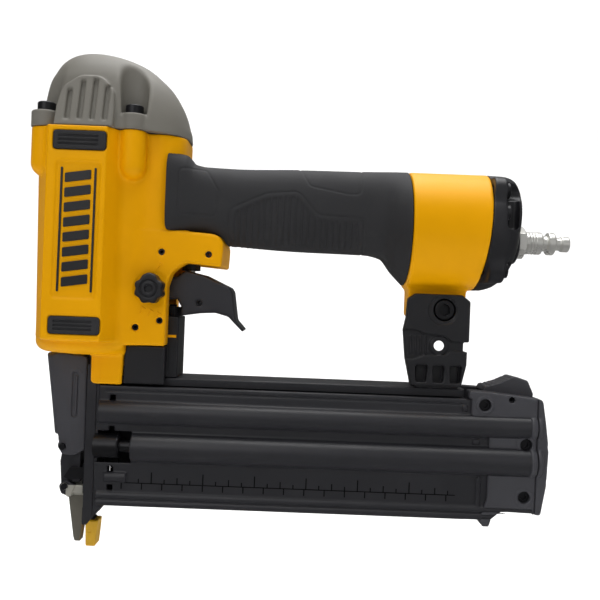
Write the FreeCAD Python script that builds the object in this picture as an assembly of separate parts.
"""A pneumatic 18 gauge brad nailer, built as an assembly of separate pieces.

Row frame, in millimetres: the drive axis is the Z axis, with Z = 0 in the plane of the
contact tip that rests on the work. +X runs back along the magazine and handle to the air
plug, and +Z points up the cylinder. -Y is the left side, which carries the selector knob.
"""
import FreeCAD
import Part

import math
import os

V = FreeCAD.Vector

# ---------------------------------------------------------------- driving dimensions
# Head and cylinder
SEAM_Z = 206.5            # joint between housing and head cap
HEAD_TOP = 249.0
TOWER_R = 28.5            # round front of the cylinder housing at the joint
TOWER_MID_R = 27.1        # and where the trigger housing begins
TOWER_FOOT_R = 26.5       # and at its foot
TOWER_MID_Z = 129.0
TAIL_X = 25.0             # centre of the round back of the head
TAIL_R = 22.3
BORE_R = 23.2             # bore that takes the sleeve
SLEEVE_R = 21.3
PISTON_R = 19.0
SCREW_X = (-19.3, 23.0)   # head cap screws
SCREW_Y = 21.2
PANEL_Y = 31.5            # flat side panels
# Trigger housing
CHEEK_Y = 19.0            # outer face of the side cheeks
SLOT_Y = 10.3             # half width of the slot between them
SLOT_FRONT = 29.2
CHEEK_BACK = 41.2
CHEEK_FOOT = 103.6
BRACKET_FOOT = 144.6
BRACKET_TOP = 160.0
TRIGGER_PIVOT = (34.0, 131.2)
LEVER_PIVOT = (55.8, 125.3)
VALVE_X = 50.0
PIN_PLACES = ((38.0, 149.5), (60.9, 149.1), (38.2, 116.1), (26.6, 112.4))   # x, z of the roll pins
# Handle and rear barrel
BARREL_Z = 166.1
BARREL_R = 29.4
BARREL_FRONT = 158.5
BARREL_BACK = 195.3
CAP_TILT = 4.6            # the end cap's joint leans by this many degrees
PLUG_Z = 162.2
EXHAUST_Z = 178.6         # the tube that carries the exhaust through the handle
BOLT_X, BOLT_Z = 177.6, 126.5   # the bolt that holds the magazine brackets
# Magazine
MAG_FRONT = 9.1
MAG_BACK = 189.5
MAG_TOP = 83.0
MAG_FOOT = 24.0
RAIL_TOP = 87.5
TUBE_1 = (-11.8, 70.0, 6.0)   # y, z, radius of the spring tube
TUBE_2 = (-11.8, 53.0, 7.4)   # the guide rod tube
BEADS = (25.7, 29.2)          # heights of the two beads along its foot
SEAM_X = 223.8                # joint between the end cover and the rear cap
END_SCREWS = ((198.8, 80.6), (219.6, 61.9), (219.4, 36.1))
# Nose
TRIP_TRAVEL = 5.0
DOOR_PIVOT = (-8.2, 31.0)
LATCH_PIVOT = (-9.4, 51.2)
NOSE_Y = 9.4
STRIP_X = (2.6, 7.2)
STRIP_Y = (10.9, 12.4)
TOWER_FOOT = 98.8
SKIRT_Y = 15.8
SKIRT_BACK = 20.8
ROD_X = 41.4

os.makedirs("parts", exist_ok=True)


# ---------------------------------------------------------------- helpers
def box(x, y, z):
    """A box from three (low, high) pairs."""
    return Part.makeBox(x[1] - x[0], y[1] - y[0], z[1] - z[0], V(x[0], y[0], z[0]))


def cyl(x, y, z, r, axis="z", to=None):
    """A cylinder from (x, y, z) along an axis to the coordinate 'to' on that axis."""
    start = {"x": x, "y": y, "z": z}[axis]
    direction = {"x": V(1, 0, 0), "y": V(0, 1, 0), "z": V(0, 0, 1)}[axis]
    length = to - start
    if length < 0:
        direction, length = direction * -1, -length
    return Part.makeCylinder(r, length, V(x, y, z), direction)


def ring(x, y, z, r_out, r_in, axis="z", to=None):
    outer = cyl(x, y, z, r_out, axis, to)
    return outer.cut(cyl(x, y, z, r_in, axis, to))


def fuse(*shapes):
    """One solid from overlapping shapes."""
    first, rest = shapes[0], list(shapes[1:])
    return first.fuse(rest).removeSplitter() if rest else first


def outline(points):
    """A closed wire through 3-D corners given as (vector, radius), with arcs at the corners."""
    n = len(points)
    ends = []
    for i, (p, r) in enumerate(points):
        before, after = points[i - 1][0], points[(i + 1) % n][0]
        u, w = (before - p).normalize(), (after - p).normalize()
        if r <= 0:
            ends.append((p, None, p))
            continue
        half = u.getAngle(w) / 2
        reach = r / math.tan(half)
        middle = p + (u + w).normalize() * (r / math.sin(half) - r)
        ends.append((p + u * reach, middle, p + w * reach))
    edges = []
    for i, (a, m, b) in enumerate(ends):
        if m is not None:
            edges.append(Part.Arc(a, m, b).toShape())
        nxt = ends[(i + 1) % n][0]
        if b.distanceToPoint(nxt) > 1e-6:
            edges.append(Part.LineSegment(b, nxt).toShape())
    return Part.Wire(edges)


def side_prism(points, y0, y1):
    """A side-view outline of (x, z) or (x, z, radius) corners, extruded from y0 to y1."""
    corners = [(V(p[0], y0, p[1]), p[2] if len(p) > 2 else 0) for p in points]
    return Part.Face(outline(corners)).extrude(V(0, y1 - y0, 0))


def end_prism(points, x0, x1):
    """An end-view outline of (y, z) or (y, z, radius) corners, extruded from x0 to x1."""
    corners = [(V(x0, p[0], p[1]), p[2] if len(p) > 2 else 0) for p in points]
    return Part.Face(outline(corners)).extrude(V(x1 - x0, 0, 0))


def plan_prism(points, z0, z1):
    """A plan outline of (x, y) or (x, y, radius) corners, extruded from z0 to z1."""
    corners = [(V(p[0], p[1], z0), p[2] if len(p) > 2 else 0) for p in points]
    return Part.Face(outline(corners)).extrude(V(0, 0, z1 - z0))


def mirrored(shape):
    """The shape's mirror image across the XZ plane."""
    return shape.mirror(V(0, 0, 0), V(0, 1, 0))


def both(shape):
    """The shape and its mirror image, as two separate solids."""
    return Part.makeCompound([shape, mirrored(shape)])


def fillet(shape, radius, wanted):
    """Rounds the edges that 'wanted' picks."""
    edges = [e for e in shape.Edges if wanted(e)]
    return shape.makeFillet(radius, edges)


def revolve(profile, base, axis):
    """A solid of revolution from (distance along axis, radius) corners."""
    side = axis.cross(V(0, 1, 0)).normalize()
    pts = [base + axis * s + side * r for s, r in profile]
    wire = Part.makePolygon(pts + [pts[0]])
    return Part.Face(wire).revolve(base, axis, 360)


def spring(centre, radius, wire_r, length, turns, axis="z"):
    """A helical compression spring with its foot at 'centre'."""
    helix = Part.makeHelix(length / turns, length, radius)
    start = V(radius, 0, 0)
    section = Part.Wire([Part.Circle(start, V(0, 1, 0), wire_r).toShape()])
    coil = Part.Wire(helix.Edges).makePipeShell([section], True, True)
    if axis == "x":
        coil.rotate(V(0, 0, 0), V(0, 1, 0), 90)
    coil.translate(V(*centre))
    return coil


def socket_screw(head, tip_length, head_r, head_h, shank_r, direction, key=None):
    """A socket head screw: 'head' is the top of its head, and 'direction' points to its tip."""
    d = V(*direction).normalize()
    top = V(*head)
    body = Part.makeCylinder(head_r, head_h, top, d)
    body = body.fuse(Part.makeCylinder(shank_r, head_h + tip_length, top, d)).removeSplitter()
    rim = [e for e in body.Edges if len(e.Vertexes) == 1 and abs((e.CenterOfMass - top).dot(d)) < 0.01]
    body = body.makeFillet(head_h * 0.16, rim)
    key = key or head_r * 1.1
    side = d.cross(V(1, 0, 0)) if abs(d.x) < 0.5 else d.cross(V(0, 0, 1))
    side.normalize()
    hexagon = []
    for i in range(7):
        turn = FreeCAD.Rotation(d, 60.0 * i)
        hexagon.append(top - d * 0.1 + turn.multVec(side) * (key / 2 / math.cos(math.pi / 6)))
    pocket = Part.Face(Part.makePolygon(hexagon)).extrude(d * (head_h * 0.6))
    return body.cut(pocket)


def torus(x, y, z, big, small, axis=(0, 0, 1)):
    return Part.makeTorus(big, small, V(x, y, z), V(*axis))


def superellipse(centre, across, up, half_a, half_b, power, count=28):
    """A closed smooth wire: half widths along the two given directions, squarer as power grows."""
    pts = []
    for i in range(count):
        t = 2 * math.pi * i / count
        c, s = math.cos(t), math.sin(t)
        a = half_a * math.copysign(abs(c) ** (2 / power), c)
        b = half_b * math.copysign(abs(s) ** (2 / power), s)
        pts.append(centre + across * a + up * b)
    curve = Part.BSplineCurve()
    curve.interpolate(pts, PeriodicFlag=True)
    return Part.Wire([curve.toShape()])


def teardrop(z, r_front, tail_x, r_tail, front_x=0.0):
    """Plan outline of the head: two circles joined by their common tangents."""
    d = tail_x - front_x
    lean = math.asin((r_front - r_tail) / d)
    c, s = math.cos(lean), math.sin(lean)
    a1 = V(front_x + r_front * s, r_front * c, z)
    a2 = V(front_x + r_front * s, -r_front * c, z)
    b1 = V(tail_x + r_tail * s, r_tail * c, z)
    b2 = V(tail_x + r_tail * s, -r_tail * c, z)
    front = Part.Arc(a1, V(front_x - r_front, 0, z), a2).toShape()
    low = Part.LineSegment(a2, b2).toShape()
    back = Part.Arc(b2, V(tail_x + r_tail, 0, z), b1).toShape()
    high = Part.LineSegment(b1, a1).toShape()
    return Part.Wire([front, low, back, high])


def save(name, shape):
    """Writes one node, and prints what it holds."""
    solids = shape.Solids
    good = bool(solids) and shape.isValid() and all(s.Volume > 0 for s in solids)
    print(f"{name:24s} solids {len(solids)}  valid {shape.isValid()}  volume {shape.Volume:10.1f}"
          + ("" if good else "   <-- BAD"))
    out = solids[0] if len(solids) == 1 else Part.makeCompound(solids)
    out.exportStep(f"parts/{name}.step")


# ---------------------------------------------------------------- housing
def head_plan(z, grow=0.0, front_r=TOWER_R):
    """Outline of the head seen from above, at one height."""
    return teardrop(z, front_r + grow, TAIL_X, TAIL_R + grow)


def boss_column(x, y, z0, z1, r=6.4):
    """A half-round screw column with a domed foot."""
    return cyl(x, y, z0, r, "z", z1).fuse(Part.makeSphere(r, V(x, y, z0)))


def barrel_cut(x):
    """The joint plane of the barrel and end cap, as a half space behind it."""
    plane = box((0, 80), (-60, 60), (-60, 60))
    plane.rotate(V(0, 0, 0), V(0, 1, 0), CAP_TILT)
    plane.translate(V(x, 0, BARREL_Z))
    return plane


GRIP_SECTIONS = [  # x, low z, high z, half width, squareness
    (39.3, 157.6, 199.6, 22.3, 5.0),
    (47.5, 158.4, 198.6, 20.6, 4.0),
    (52.0, 158.8, 194.6, 19.6, 3.4),
    (57.0, 158.4, 193.8, 18.9, 3.0),
    (66.0, 155.0, 193.7, 18.2, 2.8),
    (72.0, 154.5, 193.7, 17.6, 2.6),
    (105.0, 153.1, 194.7, 17.0, 2.5),
    (138.0, 152.7, 195.0, 17.4, 2.5),
    (146.0, 151.0, 195.2, 18.4, 2.4),
    (152.0, 144.0, 195.4, 21.0, 2.3),
    (158.2, 137.6, 195.5, 26.5, 2.1),
]


def grip_loft(shrink):
    """The handle's outer skin, or the core inside it when shrunk."""
    sections = []
    for x, low, high, half, power in GRIP_SECTIONS:
        centre = V(x, 0, (low + high) / 2)
        wire = superellipse(centre, V(0, 1, 0), V(0, 0, 1), half - shrink, (high - low) / 2 - shrink, power)
        sections.append(wire)
    return Part.makeLoft(sections, True, True)


def head_solid():
    """The cylinder head casting before it is bored."""
    tower = Part.makeLoft([head_plan(TOWER_MID_Z, 0.0, TOWER_MID_R), head_plan(SEAM_Z)], True, True)
    lower = Part.makeCone(TOWER_FOOT_R, TOWER_MID_R, TOWER_MID_Z - TOWER_FOOT, V(0, 0, TOWER_FOOT))
    lower = lower.makeFillet(4.0, [e for e in lower.Edges if e.BoundBox.ZMax < TOWER_FOOT + 1])
    lower = lower.cut(box((SKIRT_BACK, 60), (-60, 60), (0, CHEEK_FOOT)))
    cheeks = side_prism(
        [(0, CHEEK_FOOT, 3), (CHEEK_BACK, CHEEK_FOOT, 1.5), (CHEEK_BACK, 133.0), (43.0, 139.0), (46.0, 143.0),
         (49.5, BRACKET_FOOT), (67.3, 143.2, 1.5), (67.3, 155.5, 4), (60.0, BRACKET_TOP + 1), (0, BRACKET_TOP + 1)],
        -CHEEK_Y, CHEEK_Y)
    panel = plan_prism([(-16.3, -PANEL_Y, 1.5), (14.4, -PANEL_Y, 1.5), (14.4, PANEL_Y, 1.5), (-16.3, PANEL_Y, 1.5)],
                       105.4, SEAM_Z)
    skirt = side_prism([(3.8, 110), (4.6, 85.0, 1.2), (6.0, 83.9, 1.2), (20.2, 83.9, 0.8), (SKIRT_BACK, 110)],
                       -SKIRT_Y, SKIRT_Y)
    columns = [boss_column(x, s * SCREW_Y, 189.8, SEAM_Z) for x in SCREW_X for s in (-1, 1)]
    return fuse(tower, lower, cheeks, panel, skirt, *columns)


def make_housing():
    head = head_solid()
    core = grip_loft(3.0)
    barrel = cyl(BARREL_FRONT, 0, BARREL_Z, BARREL_R, "x", 205).cut(barrel_cut(BARREL_BACK))
    front_edge = [e for e in barrel.Edges if e.BoundBox.XMax < BARREL_FRONT + 0.1]
    barrel = barrel.makeFillet(1.2, front_edge)
    lug = side_prism([(159.0, 150), (159.0, 119, 3), (189.0, 119, 6), (189.5, 150)], -7.6, 7.6)
    root = cyl(155.5, 0, BARREL_Z, 21.0, "x", 162.0)
    body = fuse(head, core, barrel, root, lug)
    # the cylinder bore, open at the top, and its inlet from the handle
    bore = cyl(0, 0, 107.0, BORE_R, "z", 210)
    chamber = plan_prism([(10, -14, 5), (40, -14, 8), (40, 14, 8), (10, 14, 5)], 163.5, 210)
    handle_bore = grip_loft(7.5).common(box((46, 156), (-40, 40), (100, 220)))
    mouth = cyl(161.5, 0, BARREL_Z, 24.6, "x", 206).fuse(cyl(150, 0, BARREL_Z, 15.0, "x", 165))
    neck = cyl(30, 0, 176, 11.5, "x", 60).fuse(cyl(150, 0, EXHAUST_Z, 5.03, "x", 165))
    body = body.cut(bore).cut(chamber).cut(handle_bore).cut(mouth).cut(neck)
    # the drive channel and the slot for the trip arms
    body = body.cut(box((2.0, 10.6), (-7.9, 7.9), (80, 99.2))).cut(box((7.4, 30), (-14.1, 14.1), (80, 88.0)))
    body = body.cut(box((-1.1, 1.1), (-1.25, 1.25), (90, 110)))
    for s in (-1, 1):
        body = body.cut(box((1.6, 30), (s * 11.65 - 1.35, s * 11.65 + 1.35), (80, 98.4)))
    # the trigger slot between the cheeks and the valve pocket above it
    slot = side_prism([(SLOT_FRONT, 98), (SLOT_FRONT, 140, 4), (42, 147.6, 3), (60, 147.6), (60, 98)],
                      -SLOT_Y, SLOT_Y)
    body = body.cut(slot)
    body = body.cut(cyl(VALVE_X, 0, 140, 7.6, "z", 172))
    body = body.cut(cyl(TRIGGER_PIVOT[0], -40, TRIGGER_PIVOT[1], 3.08, "y", 40))
    knob_seat = cyl(TRIGGER_PIVOT[0], -40, TRIGGER_PIVOT[1], 8.2, "y", -CHEEK_Y)
    body = body.cut(knob_seat).cut(mirrored(knob_seat))
    for x, z in PIN_PLACES:
        body = body.cut(cyl(x, -40, z, 1.6, "y", 40))
    for x in SCREW_X:
        for s in (-1, 1):
            body = body.cut(cyl(x, s * SCREW_Y, 188.0, 2.5, "z", 210))
    for s in (-1, 1):
        body = body.cut(cyl(4.8, s * 5.2, 98.0, 1.7, "z", 106.0))
    for z, s in end_cap_screw_places():
        body = body.cut(cyl(180, s, z, 1.8, "x", 205))
    body = body.cut(cyl(BOLT_X, -20, BOLT_Z, 2.9, "y", 20))
    # recessed frame in each side panel
    recess = side_prism([(-10.6, 190, 2), (10.8, 190, 2), (10.4, 125.0, 2), (-11.0, 125.0, 2)], -40, -PANEL_Y + 0.7)
    body = body.cut(recess).cut(mirrored(recess))
    for low, high in ((195.2, 204.0), (108.6, 116.8)):
        pad = pad_prism(low, high, -40, -PANEL_Y + 1.2)
        body = body.cut(pad).cut(mirrored(pad))
    return body


def pad_prism(low, high, y0, y1):
    """The outline of one rubber pad on the side panel."""
    left = -12.2 if low > 150 else -11.4
    right = 12.6
    return side_prism([(left, low, 1.6), (right, low, 1.6), (right, high, 1.6), (left, high, 1.6)], y0, y1)


def end_cap_screw_places():
    """(z, y) of the four screws that hold the end cap."""
    return [(BARREL_Z + a * 19.2, b * 19.2) for a in (-1, 1) for b in (-1, 1)]


# ---------------------------------------------------------------- head cap
CAP_SECTIONS = [  # z, front x, back x, half width, squareness
    (206.7, -25.8, 47.6, 27.4, 2.5),
    (214.0, -25.6, 46.4, 27.2, 2.5),
    (220.0, -25.4, 44.6, 26.7, 2.45),
    (226.2, -24.6, 41.6, 25.8, 2.4),
    (232.0, -23.4, 37.6, 24.3, 2.35),
    (237.0, -21.1, 32.4, 22.0, 2.3),
    (241.0, -18.8, 27.2, 19.2, 2.3),
    (244.3, -15.8, 20.4, 15.8, 2.2),
    (246.6, -12.0, 13.0, 11.6, 2.2),
    (248.0, -8.0, 6.4, 7.0, 2.1),
]


def cap_loft():
    wires = []
    for z, front, back, half, power in CAP_SECTIONS:
        centre = V((front + back) / 2, 0, z)
        wires.append(superellipse(centre, V(1, 0, 0), V(0, 1, 0), (back - front) / 2, half, power, 36))
    return Part.makeLoft(wires, True, True)


def make_head_cap():
    dome = cap_loft()
    flange = Part.Face(head_plan(206.7, -0.4)).extrude(V(0, 0, 6.8))
    bosses = [cyl(x, s * SCREW_Y, 206.7, 6.2, "z", 214.4) for x in SCREW_X for s in (-1, 1)]
    cap = fuse(dome, flange, *bosses)
    for x in SCREW_X:
        for s in (-1, 1):
            cap = cap.cut(cyl(x, s * SCREW_Y, 214.4, 5.0, "z", 250))
            cap = cap.cut(cyl(x, s * SCREW_Y, 200, 2.5, "z", 220))
    cap = cap.cut(cyl(0, 0, 200, 20.05, "z", 232.0)).cut(cyl(0, 0, 200, 13.0, "z", 236.5))
    cap = cap.cut(cyl(0, 0, 200, 22.6, "z", 212.5))
    cap = cap.cut(plan_prism([(10, -12, 4), (38, -12, 6), (38, 12, 6), (10, 12, 4)], 200, 221))
    # arched recess with upright ribs on each side
    arch = side_prism([(-13.6, 209.5, 1), (13.4, 209.5, 1), (12.6, 226, 6), (4, 231, 8), (-6, 231, 8), (-13, 226, 6)],
                      -40, -24.9)
    grooves = [side_prism([(x - 1.1, 210.5), (x + 1.1, 210.5), (x + 1.0, 228.0), (x - 1.0, 228.0)], -40, -23.6)
               for x in (-11.0, -3.9, 3.4, 10.6)]
    recess = arch
    for g in grooves:
        recess = recess.fuse(g)
    cap = cap.cut(recess).cut(mirrored(recess))
    return cap


# ---------------------------------------------------------------- build everything
housing = make_housing()
save("housing", housing)
save("head_cap", make_head_cap())

screws = []
for x in SCREW_X:
    for s in (-1, 1):
        screws.append(socket_screw((x, s * SCREW_Y, 219.0), 26.0, 4.3, 4.6, 2.45, (0, 0, -1)))
save("head_cap_screws", Part.makeCompound(screws))
gasket = Part.Face(head_plan(206.5, -1.6)).extrude(V(0, 0, 0.2)).cut(cyl(0, 0, 200, 23.3, "z", 210))
for x in SCREW_X:
    for s in (-1, 1):
        gasket = gasket.cut(cyl(x, s * SCREW_Y, 200, 2.6, "z", 210))
save("cap_gasket", gasket.cut(box((24, 38), (-10, 10), (200, 210))))

pads = []
for low, high in ((195.2, 204.0), (108.6, 116.8)):
    pad = pad_prism(low, high, -PANEL_Y - 0.3, -PANEL_Y + 1.2)
    for i in range(3):
        z = low + (high - low) * (0.28 + 0.22 * i)
        pad = pad.cut(box((-9.8, 7.6), (-PANEL_Y - 1, -PANEL_Y + 0.1), (z - 0.45, z + 0.45)))
    pads += [pad, mirrored(pad)]
save("side_pads", Part.makeCompound(pads))
badge = side_prism([(-8.3, 187, 0.6), (8.6, 187, 0.6), (8.2, 128, 0.6), (-8.7, 128, 0.6)],
                   -PANEL_Y + 0.05, -PANEL_Y + 0.7)
save("side_badges", both(badge))

# cylinder, piston and head valve
sleeve = cyl(0, 0, 107.4, SLEEVE_R, "z", 207.0)
sleeve = sleeve.fuse(cyl(0, 0, 146, 23.0, "z", 156)).fuse(cyl(0, 0, 196, 23.0, "z", 204)).removeSplitter()
sleeve = sleeve.cut(ring(0, 0, 149, 24, 21.2, "z", 153)).cut(ring(0, 0, 198, 24, 21.2, "z", 202))
sleeve = sleeve.cut(cyl(0, 0, 100, PISTON_R + 0.08, "z", 210))
for i in range(8):
    port = cyl(0, 0, 126, 1.4, "x", 30)
    port.rotate(V(0, 0, 0), V(0, 0, 1), 45 * i)
    sleeve = sleeve.cut(port)
save("cylinder_sleeve", sleeve)
save("cylinder_seals", Part.makeCompound([torus(0, 0, 151, 22.15, 0.92), torus(0, 0, 200, 22.15, 0.92)]))
bumper = revolve([(0, 3.2), (0, 18.4), (3, 18.8), (9, 18.0), (12.2, 15.4), (12.2, 3.6)], V(0, 0, 107.1), V(0, 0, 1))
save("piston_bumper", bumper)
piston = cyl(0, 0, 196.5, PISTON_R, "z", 205.5).cut(ring(0, 0, 199.6, 20, 16.9, "z", 202.6))
piston = piston.cut(cyl(0, 0, 202.8, 12, "z", 206)).fuse(cyl(0, 0, 193.0, 2.9, "z", 196.6)).removeSplitter()
save("piston", piston.cut(box((-0.8, 0.8), (-1.0, 1.0), (190, 199))))
save("piston_ring", torus(0, 0, 201.1, 18.0, 0.98))
save("driver_blade", box((-0.75, 0.75), (-0.95, 0.95), (79.6, 198.9)))
valve = cyl(0, 0, 207.1, 19.7, "z", 224).fuse(cyl(0, 0, 207.1, 22.2, "z", 208.3)).removeSplitter()
valve = valve.cut(ring(0, 0, 215.5, 21, 17.6, "z", 219.0)).cut(cyl(0, 0, 214, 13.5, "z", 230))
save("head_valve", valve.cut(cyl(0, 0, 200, 6.0, "z", 230)))
save("head_valve_seal", Part.makeCompound([torus(0, 0, 217.25, 18.62, 0.98)]))
save("head_valve_spring", spring((0, 0, 215.4), 10.6, 1.0, 20.0, 4.5))

# handle, barrel and end cap
grip = grip_loft(0.0).cut(grip_loft(3.0)).cut(head_solid()).cut(box((0, 400), (-60, 60), (0, 137.0)))
grip = grip.common(box((39.3, 158.2), (-60, 60), (100, 220)))
grip = grip.cut(side_prism([(36, 120), (67.6, 120), (67.6, 155.7, 4), (60, 160.6, 3), (36, 160.4)], -60, 60))
grip = grip.cut(cyl(VALVE_X, 0, 140, 8.4, "z", 175))
save("grip_sleeve", max(grip.Solids, key=lambda s: s.Volume))


def end_cap_section(x, low, high, half, power=2.3):
    lean = math.tan(math.radians(CAP_TILT))
    centre = V(x, 0, (low + high) / 2)
    up = V(lean, 0, 1)
    return superellipse(centre, V(0, 1, 0), up, half, (high - low) / 2, power, 32)


cap_skin = Part.makeLoft([end_cap_section(x, low, high, half, p) for x, low, high, half, p in (
    (190.0, 136.7, 195.5, 29.4, 2.0), (199.0, 136.9, 195.4, 29.2, 2.0), (204.0, 138.6, 194.4, 27.8, 2.1),
    (207.6, 142.4, 191.4, 25.0, 2.2), (210.4, 147.6, 187.0, 21.4, 2.3), (212.4, 153.0, 181.4, 17.4, 2.5))],
    True, True)
end_cap = cap_skin.common(barrel_cut(BARREL_BACK + 0.25))
end_cap = end_cap.cut(cyl(190, 0, BARREL_Z, 24.0, "x", 205.5)).cut(cyl(180, 0, PLUG_Z, 8.6, "x", 230))
end_cap = end_cap.fuse(ring(201, 0, PLUG_Z, 11.0, 6.6, "x", 214.5).common(barrel_cut(BARREL_BACK + 0.25)))
end_cap = end_cap.fuse(cyl(199.0, 0, EXHAUST_Z, 6.6, "x", 207.0)).cut(cyl(190, 0, EXHAUST_Z, 5.03, "x", 204.6))
end_cap = end_cap.cut(cyl(190, 0, EXHAUST_Z, 4.0, "x", 230))
for z, y in end_cap_screw_places():
    end_cap = end_cap.cut(cyl(202.2, y, z, 4.6, "x", 230)).cut(cyl(180, y, z, 2.4, "x", 230))
for s in (-1, 1):
    for i in range(3):
        z = 167.0 + 6.4 * i
        end_cap = end_cap.cut(box((203.4, 209.0), (s * 24 - 7, s * 24 + 7), (z, z + 3.4)))
save("end_cap", end_cap)
save("end_cap_screws", Part.makeCompound([
    socket_screw((205.6, y, z), 13.0, 3.9, 3.4, 1.78, (-1, 0, 0)) for z, y in end_cap_screw_places()]))
gasket = cyl(0, 0, 0, 27.6, "x", 0.22).cut(cyl(-1, 0, 0, 24.7, "x", 2))
gasket.rotate(V(0, 0, 0), V(0, 1, 0), CAP_TILT)
gasket.translate(V(BARREL_BACK + 0.01, 0, BARREL_Z))
for z, y in end_cap_screw_places():
    gasket = gasket.cut(cyl(180, y, z, 2.4, "x", 230))
save("end_cap_gasket", gasket)
plug = revolve([(0, 3.2), (0, 6.4), (13.1, 6.4), (13.1, 5.9), (19.0, 5.9), (20.4, 5.2), (22.0, 5.2), (23.0, 6.0),
                (27.0, 6.0), (28.4, 3.1), (31.8, 3.1), (32.2, 4.3), (34.8, 4.3), (35.2, 3.4), (37.6, 3.4),
                (38.2, 3.95), (43.2, 3.95), (43.8, 3.4), (43.8, 2.4)], V(201.0, 0, PLUG_Z), V(1, 0, 0))
hexagon = [V(214.7, 14.3 / 2 / math.cos(math.pi / 6) * math.cos(math.pi / 3 * i),
             PLUG_Z + 14.3 / 2 / math.cos(math.pi / 6) * math.sin(math.pi / 3 * i)) for i in range(7)]
nut = Part.Face(Part.makePolygon(hexagon)).extrude(V(5.4, 0, 0)).cut(cyl(210, 0, PLUG_Z, 5.0, "x", 230))
save("air_plug", plug.fuse(nut).removeSplitter())
save("exhaust_tube", ring(60.5, 0, EXHAUST_Z, 5.0, 4.0, "x", 203.0))

# trigger valve in its bracket
body = cyl(VALVE_X, 0, 147.9, 7.4, "z", 169.0).fuse(cyl(VALVE_X, 0, 141.5, 4.6, "z", 148.0)).removeSplitter()
body = body.cut(ring(VALVE_X, 0, 153.0, 8.0, 5.7, "z", 156.0)).cut(ring(VALVE_X, 0, 161.0, 8.0, 5.7, "z", 164.0))
body = body.cut(cyl(VALVE_X, 0, 140.0, 2.06, "z", 152.0)).cut(cyl(VALVE_X, 0, 151.5, 3.6, "z", 166.0))
save("trigger_valve_body", body)
save("trigger_valve_seals", Part.makeCompound([torus(VALVE_X, 0, z, 6.6, 0.75) for z in (154.5, 162.5)]))
stem = cyl(VALVE_X, 0, 137.6, 2.0, "z", 158.0).fuse(cyl(VALVE_X, 0, 152.6, 3.2, "z", 155.4)).removeSplitter()
save("valve_stem", fillet(stem, 0.8, lambda e: e.BoundBox.ZMax < 137.7))
save("valve_spring", spring((VALVE_X, 0, 156.1), 2.8, 0.45, 9.2, 4))
pins = [ring(x, -CHEEK_Y + 0.7, z, 1.58, 0.8, "y", -10.4) for x, z in PIN_PLACES]
save("roll_pins", Part.makeCompound(pins + [mirrored(p) for p in pins]))

# selector, trigger and lever
KNOB_FACE = -27.0
KNOB_FOOT = -CHEEK_Y - 0.35
PX, PZ = TRIGGER_PIVOT
knob = cyl(PX, KNOB_FACE, PZ, 6.9, "y", KNOB_FOOT)
for i in range(8):
    a = math.pi / 8 + math.pi / 4 * i
    knob = knob.cut(cyl(PX + 8.0 * math.cos(a), -30, PZ + 8.0 * math.sin(a), 1.7, "y", -10))
lobe = cyl(PX, KNOB_FACE, PZ + 4.3, 3.4, "y", KNOB_FOOT)
knob = fuse(knob, lobe).cut(cyl(PX, -30, PZ, 2.0, "y", KNOB_FACE + 1.4))
save("selector_knob", knob.cut(cyl(PX, -23, PZ, 3.0, "y", -10)))
shaft = cyl(PX, -23.0, PZ, 3.0, "y", CHEEK_Y + 2.1)
save("selector_shaft", shaft.cut(ring(PX, CHEEK_Y + 0.9, PZ, 4, 2.4, "y", CHEEK_Y + 1.5)))
clip = ring(PX, CHEEK_Y + 0.95, PZ, 4.6, 2.42, "y", CHEEK_Y + 1.45)
save("selector_clip", clip.cut(box((PX - 4, PX + 4), (10, 24), (120, PZ - 1.4))))

TRIGGER_HALF = 9.3
outer = side_prism([(46.9, 118.5), (56.5, 120.1), (64.0, 120.6, 6), (70.4, 118.9, 3), (77.8, 111.6), (78.5, 112.6),
                    (74.3, 117.2, 3), (72.2, 131.4, 1.2), (70.8, 133.5, 1.2), (57.8, 139.4, 2), (48.4, 141.4, 2),
                    (44.0, 138.0), (33.5, 136.6, 4), (29.6, 131.2, 4), (34.0, 126.0, 4), (44.6, 127.0), (46.9, 123.0)],
                   -TRIGGER_HALF, TRIGGER_HALF)
inner = side_prism([(20, 121.2), (56.3, 122.2), (64.0, 122.7, 4), (70.0, 121.2), (69.6, 130.6, 1), (62.0, 145),
                    (20, 145)], -TRIGGER_HALF + 2.2, TRIGGER_HALF - 2.2)
trigger = outer.cut(inner).cut(cyl(TRIGGER_PIVOT[0], -40, TRIGGER_PIVOT[1], 3.07, "y", 40))
trigger = trigger.cut(cyl(LEVER_PIVOT[0], -40, LEVER_PIVOT[1], 1.6, "y", 40))
save("trigger", max(trigger.Solids, key=lambda s: s.Volume))
save("trigger_pin", ring(LEVER_PIVOT[0], -9.0, LEVER_PIVOT[1], 1.6, 0.9, "y", 9.0))
lever = side_prism([(39.4, 130.2, 0.8), (44.5, 130.2), (52.0, 122.9, 1.5), (58.6, 122.9, 2.4), (58.6, 128.0, 2.4),
                    (50.0, 129.4), (46.0, 132.0), (39.4, 132.0, 0.8)], -3.4, 3.4)
save("trigger_lever", lever.cut(cyl(LEVER_PIVOT[0], -40, LEVER_PIVOT[1], 1.66, "y", 40)))
turns = [ring(34.0, s * 5.0 - 1.0, 131.2, 4.3, 3.4, "y", s * 5.0 + 1.0) for s in (-1, 1)]
save("trigger_spring", Part.makeCompound([
    fuse(t, box((37.3, 38.0), (s * 5.0 - 0.4, s * 5.0 + 0.4), (131.2, 137.5))) for t, s in zip(turns, (-1, 1))]))

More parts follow.
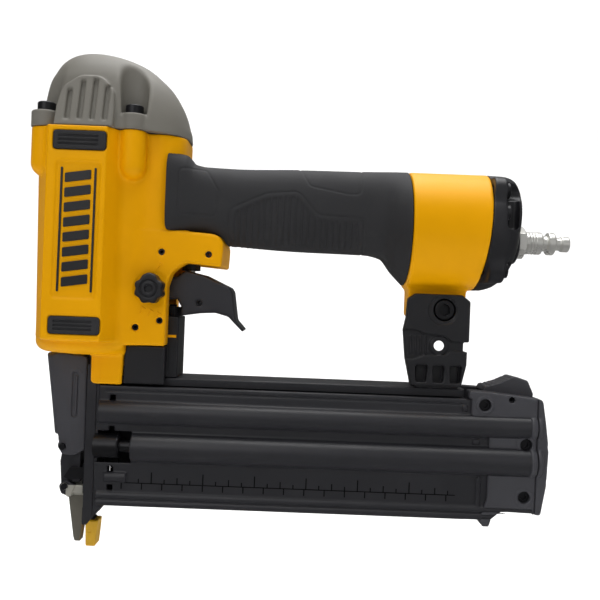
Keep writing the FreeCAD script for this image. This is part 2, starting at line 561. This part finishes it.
# nose
base = box((0.95, 8.8), (-7.55, 7.55), (27.6, 98.6)).fuse(box((7.5, 8.8), (-12.6, 12.6), (27.6, 87.0)))
base = base.fuse(side_prism([(7.5, 30), (7.5, 17.8, 0.4), (12.0, 23.0, 0.3), (12.0, 23.8), (8.8, 23.8), (8.8, 30)],
                            -12.6, 12.6)).removeSplitter()
base = base.cut(box((-1.1, 1.1), (-1.3, 1.3), (20, 110))).cut(cyl(7.0, -11.8, 53.0, 6.1, "x", 20))
base = base.cut(box((0.9, 10.4), (-1.0, 1.0), (30.0, 80.2)))
for s in (-1, 1):
    base = base.cut(cyl(4.8, s * 5.2, 88.0, 1.7, "z", 110))
    base = base.cut(cyl(0, s * 5.2, 72.0, 1.35, "x", 20)).cut(cyl(0, s * 5.2, 33.4, 1.35, "x", 20))
save("nose_base", base)
save("nose_screws", Part.makeCompound([
    socket_screw((4.8, s * 5.2, 90.0), 13.0, 1.68, 2.0, 1.4, (0, 0, 1), 1.6) for s in (-1, 1)]))
tip = side_prism([(-6.6, 31.6, 0.8), (-7.4, 27.4), (-4.6, 4.5), (-4.0, 2.0, 1.2), (-0.95, 2.0), (0.9, 22.0), (0.9, 31.6)],
                 -4.6, 4.6)
taper = end_prism([(-4.7, 33), (-4.7, 26.5), (-2.6, 1.0), (2.6, 1.0), (4.7, 26.5), (4.7, 33)], -20, 10)
tip = tip.common(taper)
lugs = side_prism([(-11.4, 31.6, 2.4), (-9.8, 27.2, 2), (-5.0, 25.8), (-3.0, 31.6), (-7.4, 34.2, 2.4)], -8.0, 8.0)
lugs = lugs.cut(box((-20, 0), (-5.1, 5.1), (20, 40)))
bridge = box((-7.2, -4.8), (-8.0, 8.0), (25.8, 27.8))
cheek = box((-7.0, 0.9), (-7.5, 7.5), (27.7, 31.6))
tip = fuse(tip, lugs, bridge, cheek).cut(box((-0.95, 0.95), (-1.1, 1.1), (0, 40)))
tip = tip.cut(cyl(DOOR_PIVOT[0], -20, DOOR_PIVOT[1], 1.5, "y", 20)).cut(box((-20, -5.0), (-5.1, 5.1), (27.8, 40)))
save("nose_tip", tip)
save("door_pin", cyl(DOOR_PIVOT[0], -9.0, DOOR_PIVOT[1], 1.5, "y", 9.0))
ear = side_prism([(-8.4, 36.0), (-5.2, 41.2, 0.8), (3.0, 41.0), (3.0, 35.2), (-6.4, 35.2, 0.8)], -9.4, -7.9)
foot = box((0.96, 3.0), (-9.4, -7.6), (33.0, 43.0))
save("latch_catches", both(ear.fuse(foot).removeSplitter()))

door = box((-4.6, -0.96), (-7.4, 7.4), (33.4, 95.6))
lug = side_prism([(-4.4, 56.5), (-10.0, 55.6, 3), (-13.2, 51.4, 3), (-10.0, 47.0, 3), (-4.4, 46.0)], -7.4, 7.4)
arm = side_prism([(-2.0, 33.4), (-2.0, 48.0), (-11.0, 48.0), (-11.8, 43.0, 2), (-10.9, 31.0), (-5.5, 31.0),
                  (-5.2, 33.4)], -4.8, 4.8)
arm = arm.fuse(cyl(DOOR_PIVOT[0], -4.8, DOOR_PIVOT[1], 2.7, "y", 4.8))
door = fuse(door, lug, arm).cut(cyl(DOOR_PIVOT[0], -20, DOOR_PIVOT[1], 1.58, "y", 20))
save("nose_door", door.cut(cyl(LATCH_PIVOT[0], -20, LATCH_PIVOT[1], 1.5, "y", 20)))
save("latch_pin", cyl(LATCH_PIVOT[0], -10.7, LATCH_PIVOT[1], 1.5, "y", 10.7))
handle_line = [(-14.2, 50.6, 3), (-15.8, 58.4), (-17.6, 73.2), (-19.6, 88.0), (-20.9, 97.4, 1.5), (-10.0, 98.0, 2),
               (1.6, 96.6, 2), (2.0, 50.0, 1), (-3.0, 47.4, 2), (-11.0, 46.2, 3)]
skin = side_prism(handle_line, -10.4, 10.4)
skin = fillet(skin, 2.2, lambda e: abs(abs(e.CenterOfMass.y) - 10.4) < 0.01 and e.CenterOfMass.x < -12)
hollow = side_prism([(-10.6, 40), (-12.8, 58.4), (-14.6, 73.2), (-16.6, 88.0), (-17.4, 95.4, 2), (-10.0, 96.2),
                     (20, 96.2), (20, 40)], -7.9, 7.9)
handle = skin.cut(hollow).cut(box((-30, 10), (-7.9, 7.9), (40, 57.0))).cut(box((-1.6, 10), (-7.9, 7.9), (90, 100)))
handle = handle.cut(cyl(LATCH_PIVOT[0], -20, LATCH_PIVOT[1], 1.57, "y", 20))
for y0, y1 in ((-12, -9.7), (9.7, 12)):
    handle = handle.cut(side_prism([(-5.4, 66.4, 1.3), (-2.5, 66.4, 1.3), (-2.5, 88.2, 1.3), (-5.4, 88.2, 1.3)], y0, y1))
save("latch_handle", max(handle.Solids, key=lambda s: s.Volume))

# contact trip
arm = box(STRIP_X, (-STRIP_Y[1], -STRIP_Y[0]), (20.0, 92.8))
arm = arm.fuse(box((STRIP_X[0], 38.8), (-STRIP_Y[1], -STRIP_Y[0]), (88.2, 92.8)))
arm = arm.fuse(box((35.4, 38.8), (-STRIP_Y[1], 0), (88.2, 91.0)))
arm = arm.fuse(box((37.0, ROD_X + 3.4), (-4.4, 0), (88.2, 91.0)))
heel = side_prism([(2.4, 22.0), (2.4, 13.6, 0.8), (4.6, 13.6), (7.2, 17.0), (7.2, 22.0)], -STRIP_Y[1], 0)
arm = arm.fuse(heel.cut(box((1, 14), (-10.8, -4.6), (13, 17.4))))
arm = arm.fuse(box((2.9, 5.8), (-3.2, 0), (3.5, 14.0)))
arm = fuse(arm, mirrored(arm)).cut(cyl(ROD_X, 0, 80, 1.92, "z", 100))
save("contact_arm", arm)
rod = cyl(ROD_X, 0, 88.3, 1.9, "z", 124.0).fuse(cyl(ROD_X, 0, 91.02, 3.4, "z", 92.4)).removeSplitter()
save("trip_rod", rod)
tip_skin = side_prism([(2.1, 0, 0.8), (7.1, 0, 0.8), (8.2, 13.4, 0.6), (1.6, 13.4, 0.6)], -4.4, 4.4)
save("no_mar_tip", tip_skin.cut(box((2.9, 5.8), (-3.2, 3.2), (3.5, 14.0))))
save("trip_spring", spring((ROD_X, 0, 92.9), 2.9, 0.4, 8.4, 5))
wheel = cyl(ROD_X, 0, 118.3, 4.5, "z", 122.9).cut(cyl(ROD_X, 0, 110, 2.3, "z", 130))
for i in range(10):
    a = 2 * math.pi * i / 10
    wheel = wheel.cut(cyl(ROD_X + 5.1 * math.cos(a), 5.1 * math.sin(a), 117, 0.9, "z", 124))
save("depth_wheel", wheel)

cover = box((21.0, 40.9), (-15.2, 15.2), (84.6, 103.3)).fuse(box((31.4, 46.2), (-9.9, 9.9), (84.6, 118.1)))
cover = cover.cut(box((18, 39.4), (-13.2, 13.2), (80, 101.9))).cut(box((33.0, 45.0), (-5.0, 5.0), (80, 101.9)))
cover = cover.cut(box((15, 60), (-14.1, 14.1), (80, 87.8))).cut(cyl(ROD_X, 0, 80, 2.3, "z", 130))
cover = cover.cut(head_solid().cut(box((31.2, 80), (-SLOT_Y, SLOT_Y), (80, 130)))).removeSplitter()
save("nose_cover", max(cover.Solids, key=lambda s: s.Volume))


# magazine: the fixed rail and its brackets
def tube_spot(tube, r, x0, x1):
    return cyl(x0, tube[0], tube[1], r, "x", x1)


rail = end_prism([(1.4, MAG_FOOT), (13.8, MAG_FOOT, 0.8), (13.8, RAIL_TOP, 0.8), (-9.6, RAIL_TOP, 0.8), (-9.6, 83.6),
                  (1.4, 83.6)], MAG_FRONT, MAG_BACK)
rail = rail.cut(box((0, 400), (3.4, 12.0), (26.4, 80.6)))
rail = rail.cut(box((0, 400), (2.0, 12.0), (82.6, 85.6)))
tongue = side_prism([(164.0, 86), (164.0, 103.0, 2), (187.0, 103.0, 2), (187.0, 86)], -2.6, 2.6)
rail = rail.fuse(tongue).removeSplitter()
for x in (169.0, 181.5):
    rail = rail.cut(cyl(x, -10, 95.5, 2.1, "y", 10))
rail = rail.cut(cyl(0, 5.2, 72.0, 1.35, "x", 16))
save("magazine_rail", rail.cut(box((MAG_FRONT + 1.0, MAG_FRONT + 6.0), (0, 20), (30, 40))))

bracket = side_prism([(161.8, 88.9, 1), (187.2, 88.9, 1), (189.3, 99.5, 3), (189.4, 108.0), (190.0, 112.0),
                      (190.0, 131.0, 1.5), (186.0, 134.2, 2), (163.0, 134.2, 3), (159.6, 131.5, 1),
                      (159.0, 122.0), (157.8, 116.0, 2), (159.2, 103.0, 6)], -14.2, -7.9)
bracket = bracket.cut(side_prism([(162.0, 80), (163.9, 109), (186.4, 109), (186.4, 80)], -10.6, -7.0))
bracket = bracket.fuse(side_prism([(164.6, 87.6, 1), (186.2, 87.6, 1), (186.2, 107.6, 2), (164.6, 107.6, 2)],
                                  -11.0, -2.9)).removeSplitter()
bracket = bracket.cut(side_prism([(158, 116.6), (180.0, 116.6, 3), (192, 112.0), (192, 84), (158, 84)], -20, -13.0))
for x0, x1 in ((164.0, 170.3), (172.6, 178.6), (181.0, 187.0)):
    bracket = bracket.cut(side_prism([(x0, 91.2, 1), (x1, 91.2, 1), (x1, 99.4, 1), (x0, 99.4, 1)], -20, -9.6))
bracket = bracket.cut(cyl(BOLT_X, -20, BOLT_Z, 2.7, "y", 0)).cut(cyl(BOLT_X, -20, BOLT_Z, 5.5, "y", -9.2))
bracket = bracket.cut(box((187.6, 200), (-20, 0), (106.2, 110.8)))
# the right half is narrower in front and has a wide opening where the left has a hole
right = mirrored(bracket).cut(cyl(181.0, 0, 107.4, 3.6, "y", 20))
right = right.cut(side_prism([(150, 80), (167.4, 80), (167.0, 88.9), (163.6, 101.5), (162.4, 118), (162.4, 140),
                              (150, 140)], 0, 20))
bracket = bracket.cut(cyl(175.3, -20, 108.8, 2.4, "y", 0))
pegs = [cyl(x, -3.4, 95.5, 2.0, "y", 2.8) for x in (169.0, 181.5)]
left = fuse(bracket, *pegs)
save("magazine_brackets", Part.makeCompound([left, right]))
bolt = socket_screw((BOLT_X, -13.4, BOLT_Z), 23.6, 4.9, 4.2, 2.6, (0, 1, 0))
bolt = bolt.cut(cyl(BOLT_X, 13.9, BOLT_Z, 9, "y", 30))
save("bracket_bolt", bolt)
turns = [math.pi / 3 * i for i in range(7)]
flat = [V(BOLT_X + 4.6 * math.cos(a), 9.25, BOLT_Z + 4.6 * math.sin(a)) for a in turns]
bracket_nut = Part.Face(Part.makePolygon(flat)).extrude(V(0, 2.8, 0)).cut(cyl(BOLT_X, 0, BOLT_Z, 2.62, "y", 20))
save("bracket_nut", bracket_nut)

# the guide rod with its collar, and the sliding cover that runs on it
rod = cyl(7.6, TUBE_2[0], TUBE_2[1], 3.0, "x", 204.0).fuse(cyl(7.6, TUBE_2[0], TUBE_2[1], 6.0, "x", 19.8))
save("magazine_rod", fillet(rod.removeSplitter(), 1.0, lambda e: e.BoundBox.XMin > 19.7 and e.BoundBox.YLength > 11))

plate = box((MAG_FRONT, SEAM_X), (-13.8, -12.0), (MAG_FOOT, MAG_TOP))
plate = plate.fuse(box((MAG_FRONT, 190.5), (-13.8, -1.5), (80.9, MAG_TOP)))
plate = plate.fuse(box((MAG_FRONT, 190.5), (-13.8, -1.5), (MAG_FOOT, 26.4)))
for z in BEADS:
    plate = plate.fuse(cyl(MAG_FRONT, -13.6, z, 1.7, "x", SEAM_X))
plate = plate.fuse(tube_spot(TUBE_1, TUBE_1[2], MAG_FRONT, SEAM_X))
plate = plate.fuse(tube_spot(TUBE_2, TUBE_2[2], 25.8, SEAM_X)).removeSplitter()
plate = plate.cut(tube_spot(TUBE_1, 4.6, 0, 400)).cut(tube_spot(TUBE_2, 5.6, 0, 400))
plate = plate.cut(tube_spot(TUBE_2, 8.0, 0, 25.8)).cut(box((0, 400), (-9, -4), (68.6, 71.4)))
for z in (77.1, 61.7, 42.0, 32.9):
    plate = plate.cut(box((14.4, 17.2), (-20, -10), (z - 1.4, z + 1.4)))
plate = plate.fuse(cyl(13.0, -13.4, 38.2, 2.4, "x", 24.0)).cut(box((0, 30), (-11.9, -4), (35, 41)))
plate = plate.removeSplitter()
scoop = side_prism([(202.4, 18), (204.0, 25.0, 2), (209.0, 28.6, 2), (230, 28.0), (230, 18)], -30, -11.9)
plate = plate.cut(scoop)
for x, z in END_SCREWS:
    plate = plate.cut(cyl(x, -20, z, 2.9, "y", -11.9))
save("magazine_cover", max(plate.Solids, key=lambda s: s.Volume))

end = side_prism([(194.2, 78.2), (194.2, 85.6, 1), (221.0, 88.4, 2), (226.8, 84.2, 4), (229.8, 69.4, 20),
                  (230.6, 53.0, 20), (229.6, 38.0, 20), (226.6, 26.9, 1.5), (209.0, 27.4, 6), (202.8, 20.6, 0.8),
                  (199.2, 22.4, 1.5), (199.2, 45.4, 1), (224.0, 45.4), (224.0, 64.0), (201.2, 64.0, 1),
                  (201.2, 78.2)], -14.3, 14.3)
rear_block = box((190.8, 228.0), (-11.9, 14.2), (24.5, 84.6)).common(
    side_prism([(190.8, 20), (190.8, 84.6), (220, 86), (226, 83), (229, 60), (226, 28), (209, 28), (202, 20)], -20, 20))
end = fuse(end, rear_block)
end = end.cut(tube_spot(TUBE_1, 6.15, 150, SEAM_X + 0.1)).cut(tube_spot(TUBE_2, 7.55, 150, SEAM_X + 0.1))
end = end.cut(box((150, SEAM_X + 0.1), (-13.85, -11.95), (18, 83.1)))
end = end.cut(box((190, 225), (-7.6, 7.6), (80.2, 95)))
for z in BEADS:
    end = end.cut(cyl(150, -13.6, z, 1.85, "x", SEAM_X + 0.1))
end = end.cut(box((190, 210), (-9.0, 3.4), (28.5, 78.5))).cut(box((195, 224), (-1, 12.2), (30.0, 77.0)))
end = end.cut(cyl(212.0, -20, 83.6, 1.5, "y", 20))
for x, z in END_SCREWS:
    end = end.cut(cyl(x, -20, z, 1.4, "y", -2)).cut(cyl(x, -20, z, 2.9, "y", -11.9))
save("magazine_end", max(end.Solids, key=lambda s: s.Volume))
save("magazine_end_screws", Part.makeCompound([
    socket_screw((x, -13.9, z), 7.0, 2.8, 1.9, 1.38, (0, 1, 0)) for x, z in END_SCREWS]))
lever = side_prism([(199.8, 86.4, 0.8), (200.6, 88.4, 0.8), (208.6, 91.6, 4), (214.6, 93.3, 3), (220.4, 92.4, 1.5),
                    (223.2, 85.4, 2), (217.0, 81.2, 2), (207.6, 81.4, 2), (204.0, 85.6)], -7.2, 7.2)
for i in range(6):
    ridge = box((-0.5, 0.5), (-8, 8), (-0.45, 3.0))
    ridge.rotate(V(0, 0, 0), V(0, 1, 0), -21)
    ridge.translate(V(202.0 + 2.0 * i, 0, 89.1 + 0.76 * i))
    lever = lever.cut(ridge)
save("magazine_latch", lever.cut(cyl(212.0, -20, 83.6, 1.57, "y", 20)))
save("magazine_latch_pin", cyl(212.0, -11.4, 83.6, 1.5, "y", 11.4))
pusher = box((14.0, 33.0), (-3.9, 1.0), (27.0, 79.0)).cut(box((17.0, 40), (-5.0, -1.6), (30.0, 66.0)))
arm = box((16.0, 30.0), (-7.6, -3.8), (68.9, 71.1)).fuse(tube_spot(TUBE_1, 4.25, 16.0, 30.0))
pusher = fuse(pusher, arm).cut(cyl(17.5, TUBE_1[0], TUBE_1[1], 3.6, "x", 60))
save("pusher", pusher)
save("pusher_spring", spring((18.0, TUBE_1[0], TUBE_1[1]), 2.9, 0.35, 203.0, 44, "x"))
